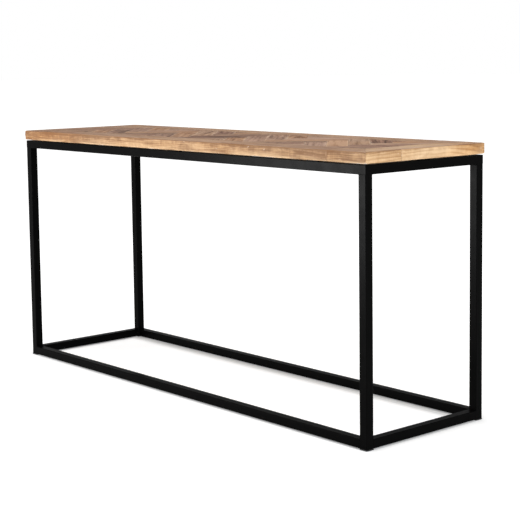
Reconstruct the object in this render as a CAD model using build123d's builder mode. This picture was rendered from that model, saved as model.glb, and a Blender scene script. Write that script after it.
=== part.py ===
"""Console table: a reclaimed-wood top with a parquet field on a welded frame of square steel tube.

Units are millimetres. X runs along the length, Y from front (-Y) to back (+Y), Z up.
The origin is on the floor, under the centre of the table.
"""

import os

from build123d import *

os.makedirs("parts", exist_ok=True)

# ---------------------------------------------------------------- driving dimensions
table_height = 763.0
top_length = 1600.0
top_depth = 460.0
top_thickness = 30.0
top_overhang = 4.0  # wood past the steel on every side

tube = 25.0  # outside of the square tube
tube_wall = 1.5
tube_radius = 1.2  # outer corner of the tube
tube_inner_radius = 0.5

foot_flange = 3.0  # height of the foot below the tube
foot_flare = 1.0  # flange past the tube on every side
foot_chamfer = 0.8
foot_plug_height = 14.0
foot_plug_wall = 2.2
foot_plug_play = 0.4  # plug body to tube wall
foot_rib_play = 0.05  # gripping rib to tube wall
foot_rib_height = 1.6
foot_rib_levels = (4.0, 8.0, 12.0)  # heights of the ribs above the flange

tab_thickness = 3.0
tab_width = 40.0  # along the rail
tab_reach = 25.0  # past the inner face of the rail
tab_setback = 3.0  # behind the outer face of the rail
tab_corner = 6.0
tab_hole_diameter = 5.2
tab_hole_inset = 12.0  # hole centre past the inner face of the rail
tab_spacing = 600.0  # between the tabs of a long rail

screw_diameter = 4.4
screw_length = 22.0  # under the head
screw_tip = 5.0
screw_tip_angle = 19.0
screw_head_diameter = 9.0
screw_head_height = 3.0
screw_head_round = 1.2
screw_slot_width = 1.1
screw_slot_length = 5.0
screw_slot_depth = 1.6
washer_diameter = 12.0
washer_bore = 4.8
washer_thickness = 1.0
pilot_diameter = 4.6
pilot_depth = 19.0

border_width = 85.0
front_corner_length = 140.0  # short length of the front board, at the right-hand end
right_corner_length = 130.0  # short length of the right board, at the front end
edge_radius = 1.6  # worn outer edges of the top
groove_depth = 8.0
groove_height = 6.0
core_thickness = 18.0
core_play = 0.2

stave_width = 60.0
stave_length = 240.0
stave_joint = 0.4  # gap between neighbouring staves
stave_bevel = 0.5
stave_tones = ("dark", "tan", "grey", "honey")

# ---------------------------------------------------------------- derived sizes
frame_height = table_height - top_thickness - tab_thickness
frame_length = top_length - 2 * top_overhang
frame_depth = top_depth - 2 * top_overhang
leg_height = frame_height - tube - foot_flange
leg_x = (frame_length - tube) / 2
leg_y = (frame_depth - tube) / 2
bore = tube - 2 * tube_wall
bottom_rail_z = foot_flange + tube / 2
top_rail_z = frame_height - tube / 2
wood_bottom = table_height - top_thickness
field_length = top_length - 2 * border_width
field_depth = top_depth - 2 * border_width
core_top = wood_bottom + core_thickness
stave_thickness = table_height - core_top
groove_bottom = wood_bottom + (core_thickness - groove_height) / 2

sides_y = (("front", -1), ("back", 1))
sides_x = (("left", -1), ("right", 1))


def save(piece, name):
    """Label a finished piece and write it as its own file."""
    piece.label = name
    export_step(piece, f"parts/{name}.step")


def tube_section():
    """Hollow square profile, drawn about the current sketch location."""
    RectangleRounded(tube, tube, tube_radius)
    RectangleRounded(bore, bore, tube_inner_radius, mode=Mode.SUBTRACT)


def mitre_plane(corner_x, corner_y, side_x, side_y):
    """Upright plane through a corner of a ring, at 45 degrees, with its normal out of the long side."""
    return Plane(origin=(side_x * corner_x, side_y * corner_y, 0), z_dir=(side_x, -side_y, 0))


# ---------------------------------------------------------------- legs
for y_name, y_side in sides_y:
    for x_name, x_side in sides_x:
        with BuildPart() as leg:
            with BuildSketch(Plane((x_side * leg_x, y_side * leg_y, foot_flange))):
                tube_section()
            extrude(amount=leg_height)
        save(leg.part, f"leg_{y_name}_{x_name}")

# ---------------------------------------------------------------- top ring, mitred at the corners
for y_name, y_side in sides_y:
    with BuildPart() as top_rail:
        start = (-frame_length / 2, y_side * leg_y, top_rail_z)
        with BuildSketch(Plane(origin=start, x_dir=(0, 1, 0), z_dir=(1, 0, 0))):
            tube_section()
        extrude(amount=frame_length)
        for x_name, x_side in sides_x:
            mitre = mitre_plane(frame_length / 2, frame_depth / 2, x_side, y_side)
            split(bisect_by=mitre, keep=Keep.BOTTOM)
    save(top_rail.part, f"top_rail_{y_name}")

for x_name, x_side in sides_x:
    with BuildPart() as top_rail:
        start = (x_side * leg_x, -frame_depth / 2, top_rail_z)
        with BuildSketch(Plane(origin=start, x_dir=(1, 0, 0), z_dir=(0, 1, 0))):
            tube_section()
        extrude(amount=frame_depth)
        for y_name, y_side in sides_y:
            mitre = mitre_plane(frame_length / 2, frame_depth / 2, x_side, y_side)
            split(bisect_by=mitre, keep=Keep.TOP)
    save(top_rail.part, f"top_rail_{x_name}")

# ---------------------------------------------------------------- bottom rails, butted between the legs
long_rail = frame_length - 2 * tube
short_rail = frame_depth - 2 * tube

for y_name, y_side in sides_y:
    with BuildPart() as bottom_rail:
        start = (-long_rail / 2, y_side * leg_y, bottom_rail_z)
        with BuildSketch(Plane(origin=start, x_dir=(0, 1, 0), z_dir=(1, 0, 0))):
            tube_section()
        extrude(amount=long_rail)
    save(bottom_rail.part, f"bottom_rail_{y_name}")

for x_name, x_side in sides_x:
    with BuildPart() as bottom_rail:
        start = (x_side * leg_x, -short_rail / 2, bottom_rail_z)
        with BuildSketch(Plane(origin=start, x_dir=(1, 0, 0), z_dir=(0, 1, 0))):
            tube_section()
        extrude(amount=short_rail)
    save(bottom_rail.part, f"bottom_rail_{x_name}")

# ---------------------------------------------------------------- feet: square inserts with a flange
flange_size = tube + 2 * foot_flare
plug_size = bore - 2 * foot_plug_play
rib_size = bore - 2 * foot_rib_play

for y_name, y_side in sides_y:
    for x_name, x_side in sides_x:
        foot_x = x_side * leg_x
        foot_y = y_side * leg_y
        with BuildPart() as foot:
            with BuildSketch(Plane((foot_x, foot_y, 0))):
                RectangleRounded(flange_size, flange_size, tube_radius + foot_flare)
            extrude(amount=foot_flange)
            chamfer(foot.edges().group_by(Axis.Z)[0], foot_chamfer)
            with BuildSketch(Plane((foot_x, foot_y, foot_flange))):
                Rectangle(plug_size, plug_size)
            extrude(amount=foot_plug_height)
            for level in foot_rib_levels:
                with BuildSketch(Plane((foot_x, foot_y, foot_flange + level - foot_rib_height / 2))):
                    RectangleRounded(rib_size, rib_size, tube_inner_radius)
                extrude(amount=foot_rib_height)
            with BuildSketch(Plane((foot_x, foot_y, foot_flange + foot_plug_wall))):
                Rectangle(plug_size - 2 * foot_plug_wall, plug_size - 2 * foot_plug_wall)
            extrude(amount=foot_plug_height, mode=Mode.SUBTRACT)
        save(foot.part, f"foot_{y_name}_{x_name}")

# ---------------------------------------------------------------- tabs on the ring, which carry the wood
tab_length = tube - tab_setback + tab_reach
tab_inset = tab_setback + tab_length / 2  # tab centre inside the outer face of the ring
hole_inset = tube + tab_hole_inset  # hole centre inside the outer face of the ring

tabs = {}
for y_name, y_side in sides_y:
    for number, column in enumerate((-1, 0, 1), start=1):
        ring_point = Vector(column * tab_spacing, y_side * frame_depth / 2, frame_height)
        tabs[f"tab_{y_name}_{number}"] = (ring_point, Vector(0, -y_side, 0))
for x_name, x_side in sides_x:
    ring_point = Vector(x_side * frame_length / 2, 0, frame_height)
    tabs[f"tab_{x_name}"] = (ring_point, Vector(-x_side, 0, 0))

screw_points = [ring_point + inward * hole_inset for ring_point, inward in tabs.values()]

for tab_name, (ring_point, inward) in tabs.items():
    with BuildPart() as tab:
        centre = ring_point + inward * tab_inset
        with BuildSketch(Plane(origin=centre, x_dir=inward, z_dir=(0, 0, 1))) as outline:
            Rectangle(tab_length, tab_width)
            fillet(outline.vertices().group_by(Axis.X)[-1], tab_corner)
            with Locations((hole_inset - tab_inset, 0)):
                Circle(tab_hole_diameter / 2, mode=Mode.SUBTRACT)
        extrude(amount=tab_thickness)
    save(tab.part, tab_name)

# ---------------------------------------------------------------- washers and pan-head wood screws
screw_sites = [(point.X, point.Y) for point in screw_points]
washer_bottom = frame_height - washer_thickness
head_bottom = washer_bottom - screw_head_height

with BuildPart() as washers:
    with BuildSketch(Plane.XY.offset(washer_bottom)):
        with Locations(screw_sites):
            Circle(washer_diameter / 2)
            Circle(washer_bore / 2, mode=Mode.SUBTRACT)
    extrude(amount=washer_thickness)
save(washers.part, "tab_washers")

with BuildPart() as screws:
    with BuildSketch(Plane.XY.offset(head_bottom)):
        with Locations(screw_sites):
            Circle(screw_head_diameter / 2)
    extrude(amount=screw_head_height)
    fillet(screws.edges().group_by(Axis.Z)[0], screw_head_round)
    with BuildSketch(Plane.XY.offset(head_bottom)):
        with Locations(screw_sites):
            Rectangle(screw_slot_length, screw_slot_width)
            Rectangle(screw_slot_width, screw_slot_length)
    extrude(amount=screw_slot_depth, mode=Mode.SUBTRACT)
    with BuildSketch(Plane.XY.offset(washer_bottom)):
        with Locations(screw_sites):
            Circle(screw_diameter / 2)
    extrude(amount=screw_length - screw_tip)
    with BuildSketch(Plane.XY.offset(washer_bottom + screw_length - screw_tip)):
        with Locations(screw_sites):
            Circle(screw_diameter / 2)
    extrude(amount=screw_tip, taper=screw_tip_angle)
save(screws.part, "tab_screws")

# ---------------------------------------------------------------- border boards, mitred, grooved inside
# The front board and the right board are each made up of a long and a short length, butted near their corner.
front_joint = Plane(origin=(top_length / 2 - front_corner_length, 0, 0), z_dir=(1, 0, 0))
right_joint = Plane(origin=(0, right_corner_length - top_depth / 2, 0), z_dir=(0, -1, 0))

border_pieces = {
    "border_front_long": (Vector(0, -1, 0), front_joint, Keep.BOTTOM),
    "border_front_corner": (Vector(0, -1, 0), front_joint, Keep.TOP),
    "border_right_corner": (Vector(1, 0, 0), right_joint, Keep.TOP),
    "border_right_long": (Vector(1, 0, 0), right_joint, Keep.BOTTOM),
    "border_back": (Vector(0, 1, 0), None, None),
    "border_left": (Vector(-1, 0, 0), None, None),
}

for piece_name, (outward, joint, kept_end) in border_pieces.items():
    along = outward.cross(Vector(0, 0, 1))
    outer = abs(outward.X) * top_length / 2 + abs(outward.Y) * top_depth / 2
    inner = outer - border_width
    outer_end = abs(along.X) * top_length / 2 + abs(along.Y) * top_depth / 2
    inner_end = outer_end - border_width
    corners = ((-outer_end, outer), (outer_end, outer), (inner_end, inner), (-inner_end, inner))
    with BuildPart() as board:
        with BuildSketch(Plane(origin=(0, 0, wood_bottom), x_dir=along, z_dir=(0, 0, 1))):
            with BuildLine():
                Polyline(*corners, close=True)
            make_face()
        extrude(amount=top_thickness)
        outer_edges = board.edges().group_by(Axis((0, 0, 0), outward))[-1]
        fillet(outer_edges.sort_by(SortBy.LENGTH)[-2:], edge_radius)
        with BuildSketch(Plane(origin=(0, 0, groove_bottom), x_dir=along, z_dir=(0, 0, 1))):
            with Locations((0, inner + groove_depth / 2)):
                Rectangle(2 * outer_end, groove_depth)
        extrude(amount=groove_height, mode=Mode.SUBTRACT)
        with BuildSketch(Plane.XY.offset(wood_bottom)):
            with Locations(screw_sites):
                Circle(pilot_diameter / 2)
        extrude(amount=pilot_depth, mode=Mode.SUBTRACT)
        if joint:
            split(bisect_by=joint, keep=kept_end)
    save(board.part, piece_name)

# ---------------------------------------------------------------- core panel with its tongue
with BuildPart() as core:
    with BuildSketch(Plane.XY.offset(wood_bottom)):
        Rectangle(field_length - 2 * core_play, field_depth - 2 * core_play)
    extrude(amount=core_thickness)
    with BuildSketch(Plane.XY.offset(groove_bottom + core_play / 2)):
        tongue_reach = 2 * (groove_depth - core_play)
        Rectangle(field_length + tongue_reach, field_depth + tongue_reach)
    extrude(amount=groove_height - core_play)
save(core.part, "core_panel")

# ---------------------------------------------------------------- herringbone field
# In axes turned by 45 degrees, one stave lies along the first axis and its partner along the second.
# The pair repeats every step_up (one stave width each way) and every step_along (one length each way).
columns = int(field_length / (stave_length * 2**0.5)) + 2
rows = int(field_depth / (stave_width * 2**0.5)) + 2


def turned(first, second):
    """Point of the field from its place in the axes turned by 45 degrees."""
    return Vector(first, second, 0).rotate(Axis.Z, 45)


def mixed_number(column, row, leaning):
    """Whole number that jumps about from stave to stave, so that equal tones seldom touch."""
    return 3 * column * column + 2 * column * row + row * (row + 1) // 2 + 2 * (leaning == "falling")


def stave_centres(leaning):
    """Centre and mixed number of every stave that may reach the field, for one of the two leans."""
    centres = []
    for column in range(-columns, columns + 1):
        for row in range(-rows, rows + 1):
            first = row * stave_width + column * stave_length
            second = row * stave_width - column * stave_length
            if leaning == "rising":
                centre = turned(first, second)
            else:
                partner = (stave_length + stave_width) / 2
                centre = turned(first + partner, second - partner + stave_width)
            centres.append((centre, mixed_number(column, row, leaning)))
    return centres


def near_field(centre):
    """Whether a stave with this centre can overlap the field."""
    return (
        abs(centre.X) < (field_length + stave_length) / 2
        and abs(centre.Y) < (field_depth + stave_length) / 2
    )


for lean, angle in (("rising", 45), ("falling", -45)):
    for tone_number, tone in enumerate(stave_tones):
        sites = [
            (centre.X, centre.Y)
            for centre, number in stave_centres(lean)
            if near_field(centre) and number % len(stave_tones) == tone_number
        ]
        with BuildPart() as staves:
            with BuildSketch(Plane.XY.offset(core_top)):
                with Locations(sites):
                    Rectangle(stave_length - stave_joint, stave_width - stave_joint, rotation=angle)
                Rectangle(field_length - stave_joint, field_depth - stave_joint, mode=Mode.INTERSECT)
            extrude(amount=stave_thickness)
            chamfer(staves.edges().group_by(Axis.Z)[-1], stave_bevel)
        save(staves.part, f"staves_{lean}_{tone}")
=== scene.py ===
"""Blender looks of the console table: worn, waxed reclaimed wood on black powder-coated square tube.

Everything is in metres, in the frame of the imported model: X along the length, -Y the front, Z up.
"""

import math
import random

import bmesh
import bpy
from mathutils import Matrix, Vector, noise


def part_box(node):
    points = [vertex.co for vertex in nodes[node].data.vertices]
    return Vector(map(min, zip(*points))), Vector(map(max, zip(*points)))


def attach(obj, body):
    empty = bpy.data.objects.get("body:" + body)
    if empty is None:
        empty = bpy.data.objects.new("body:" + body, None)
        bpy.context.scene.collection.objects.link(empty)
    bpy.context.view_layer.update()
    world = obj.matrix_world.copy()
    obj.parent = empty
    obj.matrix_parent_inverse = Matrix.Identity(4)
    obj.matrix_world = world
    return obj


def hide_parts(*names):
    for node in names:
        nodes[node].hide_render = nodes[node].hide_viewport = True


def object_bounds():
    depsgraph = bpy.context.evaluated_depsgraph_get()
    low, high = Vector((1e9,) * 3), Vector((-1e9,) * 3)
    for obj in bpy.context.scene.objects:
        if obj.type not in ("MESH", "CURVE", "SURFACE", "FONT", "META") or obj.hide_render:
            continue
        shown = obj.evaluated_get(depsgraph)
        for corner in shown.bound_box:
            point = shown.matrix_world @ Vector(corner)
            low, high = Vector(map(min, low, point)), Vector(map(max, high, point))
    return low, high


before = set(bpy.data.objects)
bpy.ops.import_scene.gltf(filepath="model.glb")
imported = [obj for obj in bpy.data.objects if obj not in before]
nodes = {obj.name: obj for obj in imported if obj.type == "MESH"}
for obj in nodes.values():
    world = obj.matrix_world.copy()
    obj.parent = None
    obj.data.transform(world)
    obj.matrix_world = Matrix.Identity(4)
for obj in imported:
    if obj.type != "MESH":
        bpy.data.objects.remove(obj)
cad_low, cad_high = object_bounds()

MM = 0.001
UP = Vector((0, 0, 1))
RING_GAP = 5.5 * MM  # from one ring of growth to the next
WAVE_TURNS = 20  # radians of Blender's wave texture for a coordinate of 1, at a scale of 1
SIDES_Y = (("front", -1), ("back", 1))
SIDES_X = (("left", -1), ("right", 1))


# ---------------------------------------------------------------- node materials
class Graph:
    """Short calls that build the node tree of one material."""

    def __init__(self, name):
        self.material = bpy.data.materials.new(name)
        self.material.use_nodes = True
        self.tree = self.material.node_tree
        self.shader = self.tree.nodes["Principled BSDF"]

    def add(self, kind, inputs, **settings):
        """A node of this kind, with its settings made and its inputs fed."""
        node = self.tree.nodes.new("ShaderNode" + kind)
        for key, value in settings.items():
            setattr(node, key, value)
        for key, value in inputs.items():
            self.feed(node.inputs[key], value)
        return node

    def feed(self, socket, value):
        """Link a socket to another, or set its plain value."""
        if isinstance(value, bpy.types.NodeSocket):
            self.tree.links.new(value, socket)
        else:
            socket.default_value = value

    def attribute(self, name, output="Fac"):
        return self.add("Attribute", {}, attribute_name=name).outputs[output]

    def position(self):
        return self.add("TexCoord", {}).outputs["Object"]

    def stretch(self, vector, along, across, depth=None):
        """The coordinate multiplied along each axis."""
        scale = (along, across, across if depth is None else depth)
        return self.add("Mapping", {"Vector": vector, "Scale": scale}).outputs["Vector"]

    def noise(self, vector, scale=1.0, detail=2.0, roughness=0.5, distortion=0.0):
        inputs = {
            "Vector": vector,
            "Scale": scale,
            "Detail": detail,
            "Roughness": roughness,
            "Distortion": distortion,
        }
        return self.add("TexNoise", inputs).outputs["Fac"]

    def maths(self, operation, first, second=0.0):
        return self.add("Math", {0: first, 1: second}, operation=operation).outputs[0]

    def remap(self, value, low, high, to_low=0.0, to_high=1.0):
        """Linear change of range, clamped at both ends."""
        inputs = {"Value": value, "From Min": low, "From Max": high, "To Min": to_low, "To Max": to_high}
        return self.add("MapRange", inputs).outputs["Result"]

    def mix(self, factor, first, second, blend="MIX"):
        node = self.add("Mix", {0: factor, 6: first, 7: second}, data_type="RGBA", blend_type=blend)
        return node.outputs[2]

    def ramp(self, factor, *stops):
        """Colour ramp through (place, colour) stops."""
        node = self.add("ValToRGB", {"Fac": factor})
        elements = node.color_ramp.elements
        while len(elements) < len(stops):
            elements.new(0.5)
        for element, (place, shade) in zip(elements, stops):
            element.position = place
            element.color = shade
        return node.outputs["Color"]

    def bump(self, height, distance, strength=1.0, normal=None):
        node = self.add("Bump", {"Height": height, "Distance": distance, "Strength": strength})
        if normal is not None:
            self.feed(node.inputs["Normal"], normal)
        return node.outputs["Normal"]

    def finish(self, **inputs):
        """Feed the shader's sockets, named with _ for a space, and give the material back."""
        for key, value in inputs.items():
            self.feed(self.shader.inputs[key.replace("_", " ")], value)
        return self.material


def linear(shown):
    """Linear value of one display value of 0 to 255, by the sRGB curve."""
    if shown <= 10:
        return shown / 3294.6
    return ((shown / 255 + 0.055) / 1.055) ** 2.4


def colour(red, green, blue):
    """Opaque linear colour from display values of 0 to 255."""
    return (linear(red), linear(green), linear(blue), 1.0)


def wood_material(name, dark, middle, light, weather=0.2, gloss=0.14, streaky=0.4, rubbed_pale=None):
    """Waxed, worn wood that follows the grain coordinate of its board.

    Each board's points hold what it reads. grain runs along the fibres in x, and its other two axes
    are measured from the pith of the tree. tone darkens the wood as it rises, warm reddens it, and the
    up-facing faces are greyed, partly as weathering and partly as painted sheen. rim is where an arris
    is rubbed pale, and where the wood is made paler along its bottom arris. weather is how far it has
    greyed in patches, streaky is how strongly its streaks differ, and rubbed_pale is its colour along
    the rim.
    """
    g = Graph(name)
    grain = g.attribute("grain", "Vector")
    tone = g.attribute("tone")
    warm = g.attribute("warm")
    sheen_and_weathering = g.attribute("sheen_and_weathering")
    rim = g.attribute("rim")

    sway = g.noise(g.stretch(grain, 3.0, 14.0), detail=2.0, roughness=0.5)
    sway = g.maths("MULTIPLY", g.maths("SUBTRACT", sway, 0.5), 30 * MM)
    shift = g.add("CombineXYZ", {"Y": sway, "Z": sway}).outputs["Vector"]
    swayed = g.add("VectorMath", {0: grain, 1: shift}, operation="ADD").outputs["Vector"]

    knot_place = g.stretch(swayed, 2.6, 11.0)
    knot = g.add("TexVoronoi", {"Vector": knot_place, "Scale": 1.0, "Randomness": 1.0}, feature="F1")
    knotty = g.maths("GREATER_THAN", knot.outputs["Color"], 0.6)  # most cells of the pattern have no knot
    knot_core = g.maths("MULTIPLY", g.remap(knot.outputs["Distance"], 0.03, 0.1, 1.0, 0.0), knotty)
    knot_halo = g.maths("MULTIPLY", g.remap(knot.outputs["Distance"], 0.04, 0.3, 1.0, 0.0), knotty)

    ring_place = g.stretch(swayed, 0.06, 1.0)
    ring_push = g.maths("MULTIPLY", knot_halo, 9.0)
    rings = g.add(
        "TexWave",
        {
            "Vector": ring_place,
            "Scale": math.tau / WAVE_TURNS / RING_GAP,
            "Distortion": 4.5,
            "Detail": 3.0,
            "Detail Scale": 0.8,
            "Phase Offset": ring_push,
        },
        wave_type="RINGS",
        rings_direction="X",
        wave_profile="SIN",
    ).outputs["Fac"]
    late_wood = g.remap(rings, 0.5, 1.0)
    streaks = g.noise(g.stretch(swayed, 4.0, 75.0), detail=4.0, roughness=0.62)
    fibres = g.noise(g.stretch(grain, 14.0, 420.0), detail=3.0, roughness=0.6)
    patches = g.noise(g.stretch(grain, 5.0, 16.0), detail=3.0, roughness=0.6)
    clouds = g.noise(g.stretch(grain, 32.0, 60.0), detail=3.0, roughness=0.6, distortion=0.6)
    pores = g.remap(g.noise(g.stretch(grain, 85.0, 1500.0), detail=1.0), 0.62, 0.78)
    saw = g.noise(g.stretch(grain, 150.0, 6.0), detail=2.0, roughness=0.6)
    split_noise = g.noise(g.stretch(swayed, 2.4, 46.0), detail=1.5, roughness=0.4)
    split_line = g.maths("ABSOLUTE", g.maths("SUBTRACT", split_noise, 0.5))
    split_zone = g.remap(g.noise(g.stretch(grain, 5.5, 7.0), detail=1.0), 0.6, 0.72)
    split = g.maths("MULTIPLY", g.remap(split_line, 0.0, 0.012, 1.0, 0.0), split_zone)
    filler = g.remap(g.noise(g.stretch(grain, 60.0, 170.0), detail=2.0), 0.7, 0.76)

    figure = g.maths("MULTIPLY", late_wood, 0.2)
    figure = g.maths("ADD", figure, g.remap(streaks, 0.3, 0.7, 0.2 - streaky / 2, 0.2 + streaky / 2))
    figure = g.maths("ADD", figure, g.remap(fibres, 0.3, 0.7, 0.0, 0.14))
    figure = g.maths("ADD", figure, g.remap(clouds, 0.3, 0.7, -0.12, 0.2))
    figure = g.maths("ADD", figure, g.remap(saw, 0.35, 0.7, -0.04, 0.07))
    figure = g.maths("ADD", figure, g.remap(patches, 0.3, 0.7, -0.14, 0.14))
    figure = g.maths("ADD", figure, g.remap(tone, -1.0, 2.0, -0.78, 0.78))
    body = g.ramp(figure, (0.0, light), (0.45, middle), (0.9, dark))

    grey = g.remap(g.noise(g.stretch(grain, 7.0, 24.0), detail=3.0), 0.42, 0.66, 0.0, weather)
    body = g.mix(grey, body, colour(128, 110, 96))
    reddened = g.maths("MULTIPLY", warm, g.remap(streaks, 0.38, 0.6, 0.45, 1.0))
    body = g.mix(reddened, body, (1.0, 0.8, 0.52, 1.0), "MULTIPLY")
    # painted sheen, partly weathering: up-facing faces are mixed towards a grey-brown
    sheen_and_weathering_amount = g.maths("MULTIPLY", sheen_and_weathering, g.remap(streaks, 0.4, 0.62, 0.72, 0.22))
    body = g.mix(sheen_and_weathering_amount, body, colour(150, 124, 108))
    deep = tuple(0.3 * c for c in dark[:3]) + (1.0,)
    body = g.mix(g.maths("MULTIPLY", pores, 0.45), body, dark)
    body = g.mix(g.maths("MULTIPLY", knot_halo, 0.3), body, dark)
    body = g.mix(g.maths("MULTIPLY", knot_core, 0.8), body, deep)
    body = g.mix(g.maths("MULTIPLY", split, 0.9), body, deep)
    body = g.mix(g.maths("MULTIPLY", filler, 0.35), body, colour(206, 184, 164))
    # rim pales the arrises in patches where they are rubbed, and along the bottom arris
    rub_patches = g.noise(g.stretch(grain, 9.0, 55.0), detail=3.0)
    paled_rim = g.maths("MULTIPLY", rim, g.remap(rub_patches, 0.4, 0.58, 0.05, 1.0))
    body = g.mix(paled_rim, body, rubbed_pale or light)

    relief = g.remap(streaks, 0.25, 0.75, 0.0, 0.4)
    relief = g.maths("ADD", relief, g.maths("MULTIPLY", late_wood, 0.25))
    relief = g.maths("ADD", relief, g.maths("MULTIPLY", fibres, 0.3))
    relief = g.maths("SUBTRACT", relief, g.maths("MULTIPLY", pores, 0.5))
    relief = g.maths("SUBTRACT", relief, g.maths("MULTIPLY", split, 2.2))
    relief = g.maths("SUBTRACT", relief, g.maths("MULTIPLY", knot_core, 0.8))
    relief = g.maths("SUBTRACT", relief, g.maths("MULTIPLY", saw, 0.4))
    normal = g.bump(relief, 0.35 * MM, 0.8)

    roughness = g.remap(streaks, 0.25, 0.75, 0.5, 0.66)
    roughness = g.maths("ADD", roughness, g.maths("MULTIPLY", pores, 0.15))
    return g.finish(Base_Color=body, Roughness=roughness, Specular_IOR_Level=gloss, Normal=normal)


def powder_coat_material():
    """Black polyester powder coat: fine orange peel, a faint larger unevenness, specks of dust."""
    g = Graph("black_powder_coat")
    place = g.position()
    peel = g.noise(place, 620.0, detail=2.0, roughness=0.55)
    dip = g.noise(place, 22.0, detail=2.0)
    dust = g.noise(place, 9.0, detail=4.0, roughness=0.65)
    speck = g.remap(g.noise(place, 2600.0, detail=1.0), 0.7, 0.8)
    body = g.mix(g.remap(dust, 0.35, 0.75), colour(3, 3, 3), colour(5, 5, 5))
    body = g.mix(g.maths("MULTIPLY", speck, 0.2), body, colour(24, 22, 21))
    roughness = g.maths("ADD", g.remap(dip, 0.3, 0.7, 0.27, 0.33), g.maths("MULTIPLY", speck, 0.1))
    normal = g.bump(peel, 0.035 * MM, 0.6, g.bump(dip, 0.1 * MM, 0.25))
    return g.finish(Base_Color=body, Roughness=roughness, Specular_IOR_Level=0.015, Normal=normal)


def foot_material():
    """Moulded black plastic with a fine spark-eroded grain and scuffs near the floor."""
    g = Graph("moulded_black_plastic")
    place = g.position()
    texture = g.noise(place, 1900.0, detail=2.0)
    scuff = g.remap(g.noise(g.stretch(place, 140.0, 140.0, 900.0), detail=3.0), 0.55, 0.75)
    body = g.mix(g.maths("MULTIPLY", scuff, 0.35), colour(20, 20, 21), colour(66, 64, 62))
    roughness = g.remap(texture, 0.3, 0.7, 0.48, 0.66)
    normal = g.bump(texture, 0.06 * MM, 0.8)
    return g.finish(Base_Color=body, Roughness=roughness, Specular_IOR_Level=0.4, Normal=normal)


def zinc_material():
    """Zinc-plated steel, faintly yellow in places, with turning marks and dull spots."""
    g = Graph("zinc_plate")
    place = g.position()
    tint = g.noise(place, 160.0, detail=3.0)
    spot = g.remap(g.noise(place, 800.0, detail=2.0), 0.58, 0.72)
    body = g.mix(g.remap(tint, 0.35, 0.65), colour(176, 176, 172), colour(190, 182, 158))
    body = g.mix(g.maths("MULTIPLY", spot, 0.5), body, colour(110, 108, 104))
    roughness = g.maths("ADD", g.remap(tint, 0.3, 0.7, 0.26, 0.4), g.maths("MULTIPLY", spot, 0.25))
    normal = g.bump(g.noise(g.stretch(place, 300.0, 300.0, 4000.0), detail=2.0), 0.05 * MM, 0.6)
    return g.finish(Base_Color=body, Roughness=roughness, Metallic=1.0, Normal=normal)


# ---------------------------------------------------------------- worn boards
ARC_STEPS = 4  # faces round each arris
EDGE_STEPS = (1.2 * MM, 4.0 * MM)  # extra points beside each arris
GRID = 8.0 * MM  # spacing of the points elsewhere
JOINT_GRIME = 0.8 * MM  # how far dirt reaches from a joint
ON_FACE = 1e-7  # a point this close to a face lies on it


def side_places(length, radius):
    """Distances along a straight side between its two rounded corners, close together near them."""
    near = [radius + step for step in EDGE_STEPS if 2 * (radius + step) < length]
    inner_start = near[-1] if near else radius
    count = max(1, round((length - 2 * inner_start) / GRID))
    middle = [inner_start + (length - 2 * inner_start) * k / count for k in range(1, count)]
    far = [length - place for place in reversed(near)]
    return near + middle + far


def cut_groove(outline, half_width, depth, groove_low, groove_high):
    """The outline so far, with a groove cut in the face on the negative side, which it follows down."""
    face = -half_width
    floor = depth - half_width
    notch = [
        Vector((face, groove_high)),
        Vector((floor, groove_high)),
        Vector((floor, groove_low)),
        Vector((face, groove_low)),
    ]
    on_face = [point for point in outline if abs(point.x - face) < ON_FACE]
    above = [point for point in outline if point not in on_face or point.y > groove_high]
    below = [point for point in on_face if point.y < groove_low]
    return above + notch + below


def board_section(half_width, low, high, radius, groove=None):
    """Closed outline of a board across its grain, as (across, up) points, with rounded arrises.

    groove is (depth, low, high) of a groove in the face on the negative side.
    """
    corners = [
        Vector((half_width, low)),
        Vector((half_width, high)),
        Vector((-half_width, high)),
        Vector((-half_width, low)),
    ]
    outline = []
    for number, corner in enumerate(corners):
        following = corners[(number + 1) % 4]
        back = (corners[number - 1] - corner).normalized()
        ahead = (following - corner).normalized()
        centre = corner + radius * (back + ahead)
        for step in range(ARC_STEPS + 1):
            turn = math.pi / 2 * step / ARC_STEPS
            outline.append(centre - radius * (ahead * math.cos(turn) + back * math.sin(turn)))
        for place in side_places((following - corner).length, radius):
            outline.append(corner + ahead * place)
        if groove and number == 2:
            outline = cut_groove(outline, half_width, *groove)
    return outline


def stations(length, bevel):
    """Places along a board, with the inset of its section at each: closer and inset at the ends."""
    rounded = bevel * 0.3  # the middle of the end's arris, as a quarter circle has it
    places = [(0.0, bevel), (rounded, rounded), (bevel, 0.0)]
    places += [(bevel + step, 0.0) for step in EDGE_STEPS if 2 * (bevel + step) < length]
    start = places[-1][0]
    count = max(1, round((length - 2 * start) / GRID))
    middle = [(start + (length - 2 * start) * k / count, 0.0) for k in range(1, count)]
    return places + middle + [(length - place, inset) for place, inset in reversed(places)]


def slow_noise(x, y, z, drift):
    """Smooth noise from about -1 to 1, shifted by the board's seeded drift so that boards differ.

    x, y and z are places times how many cells of the noise there are to a metre.
    """
    return noise.noise(Vector((x, y, z)) + drift)


def eased(values, share):
    """The value at this share of a board's length, eased between values evenly spaced along it."""
    place = min(max(share, 0.0), 1.0) * (len(values) - 1)
    before = min(int(place), len(values) - 2)
    part = place - before
    part = part * part * (3 - 2 * part)
    return values[before] * (1 - part) + values[before + 1] * part


def bridge(bm, rings):
    """Faces from each ring of points to the next, and over the first and the last ring."""
    for ring, following in zip(rings, rings[1:]):
        for k in range(len(ring)):
            beside = (k + 1) % len(ring)
            bm.faces.new((ring[k], ring[beside], following[beside], following[k]))
    bm.faces.new(list(reversed(rings[0])))
    bm.faces.new(rings[-1])


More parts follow.
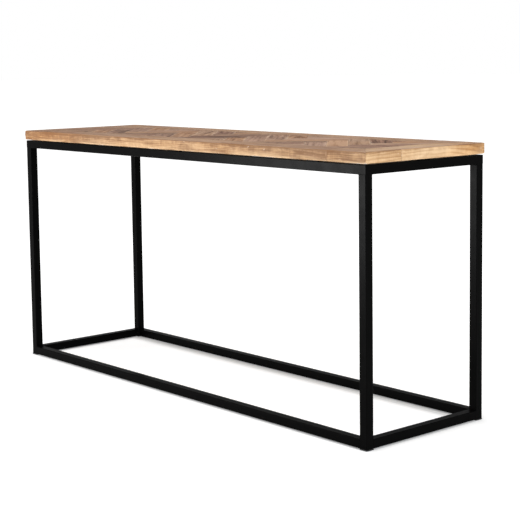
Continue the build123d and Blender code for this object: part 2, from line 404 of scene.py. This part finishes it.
def board_blank(length, half_width, low, high, style, groove):
    """A sharp new board on its own: from 0 along X, centred on Y, and between two heights in Z."""
    middle = (low + high) / 2
    half_height = (high - low) / 2
    outline = board_section(half_width, low, high, style["radius"], groove)
    made = bmesh.new()
    rings = []
    for place, inset in stations(length, style["bevel"]):
        ring = []
        for point in outline:
            narrowed = point.x * (half_width - inset) / half_width
            lowered = middle + (point.y - middle) * (half_height - inset) / half_height
            ring.append(made.verts.new((place, narrowed, lowered)))
        rings.append(ring)
    bridge(made, rings)
    bmesh.ops.recalc_face_normals(made, faces=made.faces)
    made.normal_update()
    return made


def trim(made, cuts):
    """Cut the board at (point, outward normal) planes, with extra edges just inside each cut."""
    for point, outward in cuts:
        for inset in (*reversed(EDGE_STEPS), 0.0):
            cut = bmesh.ops.bisect_plane(
                made,
                geom=made.verts[:] + made.edges[:] + made.faces[:],
                plane_co=point - outward * inset,
                plane_no=outward,
                clear_outer=inset == 0,
            )
        end_edges = [e for e in cut["geom_cut"] if isinstance(e, bmesh.types.BMEdge)]
        if end_edges:
            bmesh.ops.edgeloop_fill(made, edges=end_edges)
    made.normal_update()


def wear_corners(made, cuts, corner_wear, middle, place_in_frame):
    """Round off the outer tip of each mitre, unevenly, as knocks do to a table's corners."""
    reach = 2.2 * corner_wear
    for point, outward in cuts:
        tip = Vector((point.x, point.y, 0.0))
        inward = Vector((-outward.x, outward.y, 0.0)).normalized()
        for vertex in made.verts:
            near = max(0.0, 1 - (vertex.co.xy - tip.xy).length / reach)
            uneven = 0.75 + 0.5 * noise.noise(place_in_frame @ vertex.co * 90)
            vertex.co += inward * corner_wear * 0.6 * near * uneven
            vertex.co.z += (middle - vertex.co.z) * 0.12 * near * uneven


def make_board(
    bm, origin, along, length, half_width, low, high, style, seed, groove=None, cuts=(), shades=None
):
    """Add one worn board to bm. origin is its start on the centre line of its width, at height 0.

    style gives the board's radius, bevel, dents, hollow and corner wear in metres, how far its tone
    wanders and reddens, how much its up-facing faces are greyed as weathering and painted sheen, how
    far it gathers dirt, and how far it is made paler along its bottom arris. cuts are (point, outward
    normal) planes that trim it. shades are the tones and the warmths along it, which are random
    without them. Each point also gets the grain coordinate, tone, warmth, the greying and painted
    sheen of its up-facing faces, and nearness to an arris that the wood materials read.
    """
    chance = random.Random(seed)
    middle = (low + high) / 2
    pith_start = chance.uniform(-40, 40)
    pith_side = chance.uniform(-0.6, 0.6) * half_width
    pith_depth = chance.uniform(15, 70) * MM
    pith = Vector((pith_start, pith_side, middle - pith_depth))
    tones = shades[0] if shades else (chance.uniform(0.2, 0.8),) * 2
    drift = Vector((chance.uniform(0, 90), chance.uniform(0, 90), chance.uniform(0, 90)))

    made = board_blank(length, half_width, low, high, style, groove)
    axes = Matrix((along, UP.cross(along), UP)).transposed()
    place_in_frame = Matrix.Translation(origin) @ axes.to_4x4()
    to_local = place_in_frame.inverted()
    local_cuts = [(to_local @ point, to_local.to_3x3() @ outward) for point, outward in cuts]
    trim(made, local_cuts)

    grain_layer = made.verts.layers.float_vector.new("grain")
    tone_layer = made.verts.layers.float.new("tone")
    warm_layer = made.verts.layers.float.new("warm")
    sheen_and_weathering_layer = made.verts.layers.float.new("sheen_and_weathering")
    rim_layer = made.verts.layers.float.new("rim")
    moves = []
    for vertex in made.verts:
        u, v, w = vertex.co
        from_side = half_width - abs(v)
        from_face = min(high - w, w - low)
        from_cuts = [(point - vertex.co).dot(outward) for point, outward in local_cuts]
        from_joint = min([u, length - u] + from_cuts)
        nearest, second = sorted((from_side, from_face, from_joint))[:2]
        rim = max(0.0, 1 - second / EDGE_STEPS[1]) if nearest < EDGE_STEPS[0] else 0.0
        # the wood is made paler along its bottom arris, through rim
        below = math.exp(-(w - low + from_side) / style["paled_below"]) if style["paled_below"] else 0.0
        above = math.exp(-(high - w + from_side) / style["grimed_above"]) if style["grimed_above"] else 0.0
        grime = style["grime"] * max(above, math.exp(-from_joint / JOINT_GRIME))
        # painted sheen, partly weathering: up-facing faces, by their normal, get a slightly higher tone and
        # are greyed in the material
        sheen_and_weathering = max(0.0, vertex.normal.z) if style["sheen_and_weathering"] else 0.0
        wander = style["drift"] * slow_noise(u * 2.1, v * 6, w * 6, drift)
        warm_spot = min(1.0, max(0.0, 2.2 * slow_noise(u * 5.5, v * 9, w * 9, -drift) - 0.5))
        vertex[grain_layer] = Vector((u, v, w)) - pith
        vertex[tone_layer] = eased(tones, u / length) + style["sheen_and_weathering"] * sheen_and_weathering + wander + grime
        vertex[warm_layer] = style["warmth"] * (eased(shades[1], u / length) if shades else warm_spot)
        vertex[sheen_and_weathering_layer] = sheen_and_weathering
        vertex[rim_layer] = max(below, style["rubbing"] * rim * (1 - above))
        knock = slow_noise(u * 38, v * 38, w * 38, drift) + 0.6 * slow_noise(u * 9, v * 9, w * 9, -drift)
        swell = 0.5 + 0.5 * slow_noise(u * 7, v * 24, 0, drift)
        dent = style["dents"] * rim * max(0.0, knock) ** 1.4
        hollow = style["hollow"] * swell if abs(vertex.normal.z) > 0.7 and w > middle else 0.0
        moves.append((vertex, vertex.normal * -dent - UP * hollow))
    for vertex, move in moves:
        vertex.co += move
    if style["corner_wear"]:
        wear_corners(made, local_cuts, style["corner_wear"], middle, place_in_frame)
    made.transform(place_in_frame)
    mesh = bpy.data.meshes.new("board")
    made.to_mesh(mesh)
    made.free()
    bm.from_mesh(mesh)
    bpy.data.meshes.remove(mesh)


def new_mesh():
    """Empty bmesh with the layers that the wood materials read."""
    bm = bmesh.new()
    bm.verts.layers.float_vector.new("grain")
    bm.verts.layers.float.new("tone")
    bm.verts.layers.float.new("warm")
    bm.verts.layers.float.new("sheen_and_weathering")
    bm.verts.layers.float.new("rim")
    return bm


def finish_piece(bm, name, material, smooth_angle=38.0):
    """Turn bm into a shaded object that rides on the table."""
    mesh = bpy.data.meshes.new(name)
    bm.to_mesh(mesh)
    bm.free()
    mesh.shade_smooth()
    mesh.set_sharp_from_angle(angle=math.radians(smooth_angle))
    mesh.materials.append(material)
    piece = bpy.data.objects.new(name, mesh)
    bpy.context.scene.collection.objects.link(piece)
    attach(piece, "root")
    return piece


BORDER_STYLE = {  # what make_board's docstring lists, with how far the paler band below and the dirt above reach from an arris
    "radius": 1.5 * MM,
    "bevel": 0.5 * MM,
    "dents": 1.3 * MM,
    "hollow": 0.25 * MM,
    "corner_wear": 4.0 * MM,
    "drift": 0.3,
    "warmth": 0.8,
    # painted sheen, partly weathering, on the up-facing faces
    "sheen_and_weathering": 0.08,
    "paled_below": 3.5 * MM,
    "grimed_above": 2.6 * MM,
    "grime": 1.5,
    "rubbing": 0.3,
}
STAVE_STYLE = {
    "radius": 0.7 * MM,
    "bevel": 0.5 * MM,
    "dents": 0.5 * MM,
    "hollow": 0.3 * MM,
    "corner_wear": 0.0,
    "drift": 0.7,
    "warmth": 0.5,
    "sheen_and_weathering": 0.0,
    "paled_below": 0.0,
    "grimed_above": 0.0,
    "grime": 0.8,
    "rubbing": 0.6,
}
CORE_STYLE = dict(STAVE_STYLE, dents=0.0, hollow=0.0, grime=0.0, rubbing=0.0, bevel=0.3 * MM, radius=0.3 * MM)
CORE_SEED = 77
JOINT = 0.12 * MM  # half of the open joint line between two boards
TONGUE_REACH = 8.0 * MM  # the core's tongue in the boards' grooves, and its heights over the core's underside
TONGUE_LOW = 6.0 * MM
TONGUE_HIGH = 12.0 * MM

stave_nodes = sorted(name for name in nodes if name.startswith("staves_"))
field_low = Vector(map(min, *(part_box(name)[0] for name in stave_nodes)))
field_high = Vector(map(max, *(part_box(name)[1] for name in stave_nodes)))
core_low, core_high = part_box("core_panel")
wood_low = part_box("border_back")[0].z

BORDER_SHADES = {  # tones and warmths evenly spaced along each board, set to match the photo
    "border_front_long": ((1.4, 1.2, 1.2, 0.9, 1.2, 1.4, 1.3, 1.4), (0.0, 0.0, 0.4, 0.0, 0.0, 0.0, 0.9, 0.5)),
    "border_front_corner": ((0.9, 1.0, 1.0), (0.1, 0.1)),
    "border_right_corner": ((0.45, 0.35, 0.25), (0.0, 0.0)),
    "border_right_long": ((0.8, 0.5, 0.05, 0.0, 0.2), (0.6, 1.0, 0.3, 0.0, 0.0)),
    "border_back": ((1.1, 0.9, 1.1, 1.0), (0.3, 0.0, 0.2, 0.0)),
    "border_left": ((1.2, 1.1, 1.0), (0.0, 0.2, 0.0)),
}


def border_board(node, outward, material, seed):
    """A border length in place of its CAD node, mitred where it reaches a corner of the table."""
    low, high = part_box(node)
    along = outward.cross(UP)
    width = abs((high - low).dot(outward))
    length = abs((high - low).dot(along))
    centre = (low + high) / 2
    origin = centre - along * length / 2
    origin.z = 0
    border_width = (cad_high - field_high).dot(Vector(map(abs, outward)))
    groove_depth = width - border_width + TONGUE_REACH
    groove = (groove_depth, core_low.z + TONGUE_LOW, core_low.z + TONGUE_HIGH)
    table_end = cad_high.dot(Vector(map(abs, along)))
    cuts = []
    for end in (-1, 1):
        tip = centre + along * end * length / 2
        if abs(abs(tip.dot(along)) - table_end) < MM:
            corner = tip + outward * width / 2
            cuts.append((corner - along * end * JOINT, (along * end - outward).normalized()))
    bm = new_mesh()
    make_board(
        bm, origin, along, length, width / 2, wood_low, cad_high.z,
        BORDER_STYLE, seed, groove, cuts, BORDER_SHADES[node],
    )
    piece = finish_piece(bm, f"worn_{node}", material)
    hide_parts(node)


def loose_parts(obj):
    """The separate solids of a CAD node, each as a list of its points."""
    owner = {}
    points = [v.co.copy().freeze() for v in obj.data.vertices]
    keys = [tuple(round(c, 6) for c in p) for p in points]

    def root_of(key):
        while owner.setdefault(key, key) != key:
            key = owner[key]
        return key

    for face in obj.data.polygons:
        first = root_of(keys[face.vertices[0]])
        for index in face.vertices[1:]:
            owner[root_of(keys[index])] = first
    groups = {}
    for key, point in zip(keys, points):
        groups.setdefault(root_of(key), []).append(point)
    return sorted(groups.values(), key=lambda group: (min(p.x for p in group), min(p.y for p in group)))


def stave_group(node, material, first_seed):
    """All staves of one CAD node, each rebuilt as a worn board and trimmed to the field."""
    lean = 1 if "rising" in node else -1
    along = Vector((1, lean, 0)).normalized()
    across = UP.cross(along)
    low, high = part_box(node)
    cuts = [
        (field_high, Vector((1, 0, 0))),
        (field_low, Vector((-1, 0, 0))),
        (field_high, Vector((0, 1, 0))),
        (field_low, Vector((0, -1, 0))),
    ]
    bm = new_mesh()
    for number, points in enumerate(loose_parts(nodes[node])):
        u_values = [p.dot(along) for p in points]
        v_values = [p.dot(across) for p in points]
        u_low, u_high = min(u_values), max(u_values)
        v_low, v_high = min(v_values), max(v_values)
        origin = along * u_low + across * (v_low + v_high) / 2
        make_board(
            bm, origin, along, u_high - u_low, (v_high - v_low) / 2, low.z, high.z,
            STAVE_STYLE, first_seed + number, None, cuts,
        )
    piece = finish_piece(bm, f"worn_{node}", material)
    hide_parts(node)


def core_panel_piece(material):
    """The core, seen from below inside the border: one wide board, without the tongue in the grooves."""
    along = Vector((1, 0, 0))
    length = core_high.x - core_low.x - 2 * TONGUE_REACH
    half_width = (core_high.y - core_low.y) / 2 - TONGUE_REACH
    origin = Vector((core_low.x + TONGUE_REACH, (core_low.y + core_high.y) / 2, 0))
    bm = new_mesh()
    make_board(bm, origin, along, length, half_width, core_low.z, core_high.z, CORE_STYLE, CORE_SEED)
    piece = finish_piece(bm, "core_board_panel", material)
    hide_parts("core_panel")


# ---------------------------------------------------------------- weld beads at the inner corners
BEAD = 2.6 * MM  # leg length of the fillet
BEAD_STEP = 0.45 * MM  # from one section of the bead to the next
BEAD_ARC = 5  # faces across the bead
RIPPLE = 1.9 * MM  # from one ripple of the weld to the next
SUNK = 0.3 * MM  # how far the bead reaches into the tubes
TUBE_ROUNDING = 1.3 * MM  # what the beads stay short of at the tubes' outer corners


def weld_bead(bm, start, end, wall_a, wall_b, seed):
    """Fillet bead along an inner corner, from start to end, between walls with these outward normals."""
    along = end - start
    length = along.length
    along.normalize()
    count = max(4, round(length / BEAD_STEP))
    rings = []
    for k in range(count + 1):
        place = length * k / count
        end_fade = min(1.0, (min(place, length - place) + 0.4 * MM) / (1.6 * MM)) ** 0.5
        wobble = noise.noise(Vector((place * 260, seed, 0)))
        ripple = 1 + 0.07 * abs(math.sin(math.pi * place / RIPPLE)) + 0.08 * wobble
        size = BEAD * end_fade * ripple
        centre = start + along * place
        ring = [bm.verts.new(centre - (wall_a + wall_b) * SUNK)]
        for step in range(BEAD_ARC + 1):
            turn = math.pi / 2 * step / BEAD_ARC
            bulge = 1 - 0.18 * math.sin(2 * turn)
            offset = wall_a * (size * math.cos(turn)) + wall_b * (size * math.sin(turn))
            if step == 0:
                foot = wall_b * -SUNK
            elif step == BEAD_ARC:
                foot = wall_a * -SUNK
            else:
                foot = Vector()
            ring.append(bm.verts.new(centre + offset * bulge + foot))
        rings.append(ring)
    bridge(bm, rings)


def corner_welds(y_name, y_side, x_name, x_side, material):
    """The beads of one corner: under the top ring, and on top of and between the bottom rails."""
    leg_low, leg_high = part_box(f"leg_{y_name}_{x_name}")
    rail_low, rail_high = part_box(f"bottom_rail_{y_name}")
    ring_low, ring_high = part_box(f"top_rail_{y_name}")
    inward_x = Vector((-x_side, 0, 0))
    inward_y = Vector((0, -y_side, 0))
    inner_x = leg_high.x if x_side < 0 else leg_low.x
    inner_y = leg_high.y if y_side < 0 else leg_low.y
    outer_x = leg_low.x if x_side < 0 else leg_high.x
    outer_y = leg_low.y if y_side < 0 else leg_high.y
    levels = (
        ("bottom", rail_high.z, UP, rail_low.z, rail_high.z - BEAD),
        ("top", ring_low.z, -UP, ring_low.z + BEAD, ring_high.z),
    )
    for number, (level, height, facing, post_low, post_high) in enumerate(levels):
        bm = bmesh.new()
        corner = Vector((inner_x, inner_y, height))
        along_y = Vector((inner_x, outer_y - y_side * TUBE_ROUNDING, height))
        along_x = Vector((outer_x - x_side * TUBE_ROUNDING, inner_y, height))
        post_foot = Vector((inner_x, inner_y, post_low))
        post_head = Vector((inner_x, inner_y, post_high))
        weld_bead(bm, along_y, corner, inward_x, facing, 3.1 + number)
        weld_bead(bm, along_x, corner, inward_y, facing, 7.7 + number)
        weld_bead(bm, post_foot, post_head, inward_x, inward_y, 12.3 + number)
        bmesh.ops.recalc_face_normals(bm, faces=bm.faces)
        finish_piece(bm, f"welds_{level}_{y_name}_{x_name}", material, 60.0)


# ---------------------------------------------------------------- the table
BORDER_WOOD = wood_material(
    "border_wood", colour(116, 82, 53), colour(170, 135, 97), colour(205, 174, 137), weather=0.12
)
STAVE_COLOURS = {  # dark, middle and light wood of each kind of stave, and how far it has greyed
    "dark": (colour(64, 43, 33), colour(110, 79, 63), colour(144, 112, 93), 0.1),
    "tan": (colour(82, 59, 44), colour(128, 99, 78), colour(160, 130, 107), 0.2),
    "grey": (colour(82, 59, 48), colour(127, 98, 81), colour(158, 128, 109), 0.12),
    "honey": (colour(86, 57, 39), colour(134, 99, 73), colour(166, 131, 103), 0.1),
}
RUBBED_STAVE = colour(204, 178, 154)
STAVE_WOODS = {
    name: wood_material(f"stave_wood_{name}", *shades, streaky=0.95, rubbed_pale=RUBBED_STAVE)
    for name, shades in STAVE_COLOURS.items()
}
CORE_BOARD = wood_material(
    "core_board", colour(126, 92, 58), colour(170, 136, 96), colour(194, 164, 124), weather=0.3, gloss=0.2
)
POWDER_COAT = powder_coat_material()
FOOT_PLASTIC = foot_material()
ZINC = zinc_material()

OUTWARDS = {
    "front": Vector((0, -1, 0)),
    "back": Vector((0, 1, 0)),
    "left": Vector((-1, 0, 0)),
    "right": Vector((1, 0, 0)),
}
for seed, node in enumerate(BORDER_SHADES, start=1):
    border_board(node, OUTWARDS[node.split("_")[1]], BORDER_WOOD, seed)
for number, node in enumerate(stave_nodes):
    tone_name = node.split("_")[-1]
    first_seed = 100 + 20 * number
    stave_group(node, STAVE_WOODS[tone_name], first_seed)
for y_name, y_side in SIDES_Y:
    for x_name, x_side in SIDES_X:
        corner_welds(y_name, y_side, x_name, x_side, POWDER_COAT)
core_panel_piece(CORE_BOARD)

NODE_MATERIALS = (
    (("leg_", "top_rail", "bottom_rail", "tab_"), POWDER_COAT),
    (("foot_",), FOOT_PLASTIC),
    (("tab_screws", "tab_washers"), ZINC),
)
for prefixes, material in NODE_MATERIALS:
    for name, node_object in nodes.items():
        if name.startswith(prefixes):
            node_object.data.materials.clear()
            node_object.data.materials.append(material)


# ---------------------------------------------------------------- stage, light and camera
def softbox(name, place, target, size, power, tint=(1.0, 1.0, 1.0)):
    """Square soft light at a place, aimed at a target."""
    lamp = bpy.data.lights.new(name, "AREA")
    lamp.shape = "SQUARE"
    lamp.size = size
    lamp.energy = power
    lamp.color = tint
    lamp_object = bpy.data.objects.new(name, lamp)
    lamp_object.location = place
    lamp_object.rotation_euler = (Vector(place) - Vector(target)).to_track_quat("Z", "Y").to_euler()
    bpy.context.scene.collection.objects.link(lamp_object)


FLOOR_RADIUS = 60.0
FLOOR_DROP = 0.2 * MM  # how far the floor lies under the feet, so that their faces don't coincide
FULL_GLOW = 0.66  # of the floor inside the bottom rails
SHADOW_GLOW = 0.22  # painted shadow: the floor's glow right beside a rail, on its inner side


def white_floor():
    """Large lit white floor, just under the feet.

    It glows to stay white, except that its glow is lowered under and close beside the bottom rails and near
    the table, which paints their shadow.
    """
    bm = bmesh.new()
    bmesh.ops.create_circle(bm, cap_ends=True, segments=96, radius=FLOOR_RADIUS)
    bmesh.ops.translate(bm, verts=bm.verts, vec=(0, 0, -FLOOR_DROP))
    mesh = bpy.data.meshes.new("studio_floor")
    bm.to_mesh(mesh)
    bm.free()
    g = Graph("studio_white")
    white = (1.0, 1.0, 1.0, 1.0)
    grey = (0.6, 0.6, 0.6, 1.0)
    place = g.add("SeparateXYZ", {"Vector": g.position()})
    rail_x = sum(corner.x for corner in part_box("bottom_rail_right")) / 2
    rail_y = sum(corner.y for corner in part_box("bottom_rail_back")) / 2
    # How far a place lies past the middle lines of the bottom rails, or inside them if negative.
    past_end = g.maths("SUBTRACT", g.maths("ABSOLUTE", place.outputs["X"]), rail_x)
    past_side = g.maths("SUBTRACT", g.maths("ABSOLUTE", place.outputs["Y"]), rail_y)
    past_end_only = g.maths("MAXIMUM", past_end, 0.0)
    past_side_only = g.maths("MAXIMUM", past_side, 0.0)
    past = g.add("CombineXYZ", {"X": past_end_only, "Y": past_side_only}).outputs["Vector"]
    outside = g.add("VectorMath", {0: past}, operation="LENGTH").outputs["Value"]
    # painted shadow: the glow drops just inside the rails
    beside_long_rail = g.remap(past_side, -54 * MM, -26 * MM, FULL_GLOW, SHADOW_GLOW)
    beside_short_rail = g.remap(past_end, -26 * MM, -8 * MM, FULL_GLOW, SHADOW_GLOW)
    glow_inside = g.maths("MINIMUM", beside_long_rail, beside_short_rail)
    # painted shadow: outside the rails the glow is low under them, next to them and near the table, and rises
    # further off
    close_by = g.remap(outside, 8 * MM, 20 * MM, 0.0, 0.48)
    further = g.remap(outside, 20 * MM, 100 * MM, 0.0, 0.2)
    far_off = g.remap(outside, 0.2, 2.0, 0.0, 0.35)
    glow_outside = g.maths("ADD", close_by, further)
    glow = g.maths("ADD", g.maths("MAXIMUM", glow_inside, glow_outside), far_off)
    material = g.finish(
        Base_Color=grey,
        Roughness=1.0,
        Specular_IOR_Level=0.0,
        Emission_Color=white,
        Emission_Strength=glow,
    )
    mesh.materials.append(material)
    floor = bpy.data.objects.new("studio_floor", mesh)
    bpy.context.scene.collection.objects.link(floor)


def studio():
    """White floor, a world that is white at the horizon and dimmer above it, and soft lights."""
    white_floor()
    softbox("key", (3.6, -0.7, 1.6), (0.5, 0.0, 0.6), 1.6, 76, (0.95, 0.985, 1.0))
    softbox("front_left", (-1.7, -2.6, 0.5), (0.6, 0.0, 0.7), 0.8, 75)
    softbox("front", (-0.4, -4.2, 2.4), (0.0, 0.0, 0.6), 2.0, 18)
    softbox("overhead", (0.0, -0.3, 3.4), (0.0, 0.0, 0.7), 2.8, 104)
    world = bpy.data.worlds.new("studio_world")
    world.use_nodes = True
    tree = world.node_tree
    place = tree.nodes.new("ShaderNodeTexCoord")
    split = tree.nodes.new("ShaderNodeSeparateXYZ")
    fade = tree.nodes.new("ShaderNodeMapRange")
    fade.interpolation_type = "SMOOTHSTEP"
    for socket, value in (("From Min", 0.05), ("From Max", 0.22), ("To Min", 1.0), ("To Max", 0.2)):
        fade.inputs[socket].default_value = value
    tree.links.new(place.outputs["Generated"], split.inputs[0])
    tree.links.new(split.outputs["Z"], fade.inputs["Value"])
    tree.links.new(fade.outputs["Result"], tree.nodes["Background"].inputs["Strength"])
    tree.nodes["Background"].inputs["Color"].default_value = (1.0, 1.0, 1.0, 1.0)
    bpy.context.scene.world = world
    bpy.context.scene.view_settings.view_transform = "Standard"


def camera():
    """Camera in front, to the right and above the top, as fitted to the edges of the table in the photo."""
    data = bpy.data.cameras.new("camera")
    data.lens = 94.1
    data.sensor_width = 36.0
    data.shift_y = -0.125
    data.clip_end = FLOOR_RADIUS
    camera_object = bpy.data.objects.new("camera", data)
    heading = Matrix.Rotation(math.radians(48.97), 3, "Z")
    pitch = Matrix.Rotation(math.pi / 2 + math.radians(-5.89), 3, "X")
    roll = Matrix.Rotation(math.radians(-0.73), 3, "Z")
    camera_object.rotation_euler = (heading @ pitch @ roll).to_euler()
    camera_object.location = (3.162, -2.633, 1.006)
    bpy.context.scene.collection.objects.link(camera_object)
    bpy.context.scene.camera = camera_object


studio()
camera()
